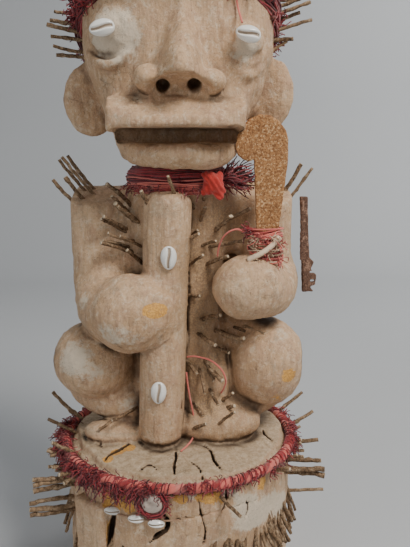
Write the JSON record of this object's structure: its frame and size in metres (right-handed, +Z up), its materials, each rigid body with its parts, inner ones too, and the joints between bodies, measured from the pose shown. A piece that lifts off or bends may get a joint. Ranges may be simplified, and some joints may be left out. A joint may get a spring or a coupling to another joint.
{
  "type": "seated power figure with twigs and cowries",
  "caption": "Carved figure sitting cross-legged on a drum-shaped base, clay-crusted, with a horn and a blade in its fists and stuck with twigs.",
  "frame": {"origin": "centre of the drum-shaped base on its underside", "axes": "+Z up, the face looks along -Y, +X to the figure's own left hand"},
  "size_m": [0.2994, 0.2554, 0.648],
  "materials": {
    "clay_crust": "matt dry clay over carved wood, cracked and rubbed",
    "twig_bark": "dry bark with pale broken ends",
    "cowrie_shell": "glossy shell",
    "rim_shell": "worn matt shell",
    "red_yarn": "dull dyed yarn, frayed",
    "red_thread": "thin twisted thread",
    "blade_iron": "even speckled rust",
    "key_iron": "dark pitted rust"
  },
  "bodies": {
    "root": {"base_cowrie_1": "cowrie_shell", "base_cowrie_2": "cowrie_shell", "base_cowrie_3": "cowrie_shell", "blade": "blade_iron", "blade_binding": "red_yarn", "brow_thread": "red_thread", "chest_thread": "red_thread", "eye_cowrie_left": "cowrie_shell", "eye_cowrie_right": "cowrie_shell", "figure": "clay_crust", "hanging_thread": "red_thread", "head_yarn": "red_yarn", "horn_cowrie_lower": "cowrie_shell", "horn_cowrie_upper": "cowrie_shell", "key": "key_iron", "lap_thread": "red_thread", "neck_knot": "red_yarn", "neck_tuft": "red_yarn", "neck_yarn": "red_yarn", "rim_bundle_left": "twig_bark", "rim_bundle_right": "twig_bark", "rim_bundle_upper": "twig_bark", "rim_cord": "red_yarn", "rim_shell": "rim_shell", "rim_shell_binding": "red_yarn", "twig_belly_1": "twig_bark", "twig_belly_2": "twig_bark", "twig_belly_3": "twig_bark", "twig_chest_left_1": "twig_bark", "twig_chest_left_2": "twig_bark", "twig_chest_left_3": "twig_bark", "twig_chest_left_4": "twig_bark", "twig_chest_right_1": "twig_bark", "twig_chest_right_2": "twig_bark", "twig_chest_right_3": "twig_bark", "twig_chest_right_4": "twig_bark", "twig_collar": "twig_bark", "twig_lap_1": "twig_bark", "twig_lap_2": "twig_bark", "twig_rim_1": "twig_bark", "twig_rim_2": "twig_bark", "twig_rim_3": "twig_bark", "twig_rim_4": "twig_bark", "twig_rim_5": "twig_bark", "twig_rim_6": "twig_bark", "twig_rim_7": "twig_bark", "twig_rim_8": "twig_bark", "twig_rim_9": "twig_bark", "twig_shoulder_left_1": "twig_bark", "twig_shoulder_left_2": "twig_bark", "twig_shoulder_right_1": "twig_bark", "twig_shoulder_right_2": "twig_bark", "twig_shoulder_right_3": "twig_bark", "twig_shoulder_right_4": "twig_bark", "twig_shoulder_right_5": "twig_bark", "twig_temple_left_1": "twig_bark", "twig_temple_left_2": "twig_bark", "twig_temple_right_1": "twig_bark", "twig_temple_right_2": "twig_bark"}
  },
  "joints": []
}
